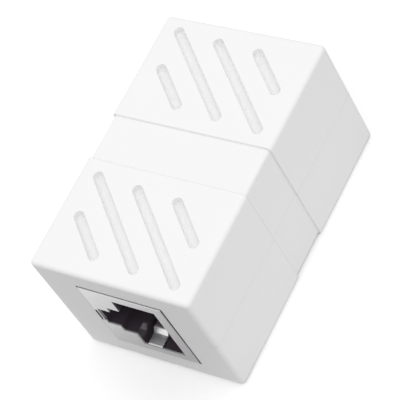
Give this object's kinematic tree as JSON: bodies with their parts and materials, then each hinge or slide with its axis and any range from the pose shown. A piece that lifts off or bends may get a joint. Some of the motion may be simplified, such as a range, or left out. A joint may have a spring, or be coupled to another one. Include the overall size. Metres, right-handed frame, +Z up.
{
  "type": "rj45 inline coupler",
  "caption": "White inline coupler with a shielded modular network port at each end, a recessed waist and slanted blind grooves; joins two plugged cables.",
  "frame": {"origin": "centre of the underside, midway between the two end faces", "axes": "+Z up through the casing, +Y lengthwise from the front port to the rear port, +X across; the front port's latch slot points to -X"},
  "size_m": [0.0264, 0.0432, 0.022],
  "materials": {
    "casing": "fine matt moulded white ABS",
    "shield": "nickel-plated folded sheet",
    "jack_body": "smooth black moulded PBT",
    "carrier": "black moulded PBT",
    "contact": "gold-plated phosphor bronze",
    "board": "green solder mask on glass epoxy"
  },
  "bodies": {
    "root": {"upper_shell": "casing", "lower_shell": "casing", "circuit_board": "board", "front_shield": "shield", "rear_shield": "shield", "front_jack_body": "jack_body", "rear_jack_body": "jack_body", "front_contact_carrier": "carrier", "rear_contact_carrier": "carrier", "front_contact_1": "contact", "front_contact_2": "contact", "front_contact_3": "contact", "front_contact_4": "contact", "front_contact_5": "contact", "front_contact_6": "contact", "front_contact_7": "contact", "front_contact_8": "contact", "rear_contact_1": "contact", "rear_contact_2": "contact", "rear_contact_3": "contact", "rear_contact_4": "contact", "rear_contact_5": "contact", "rear_contact_6": "contact", "rear_contact_7": "contact", "rear_contact_8": "contact"}
  },
  "joints": []
}
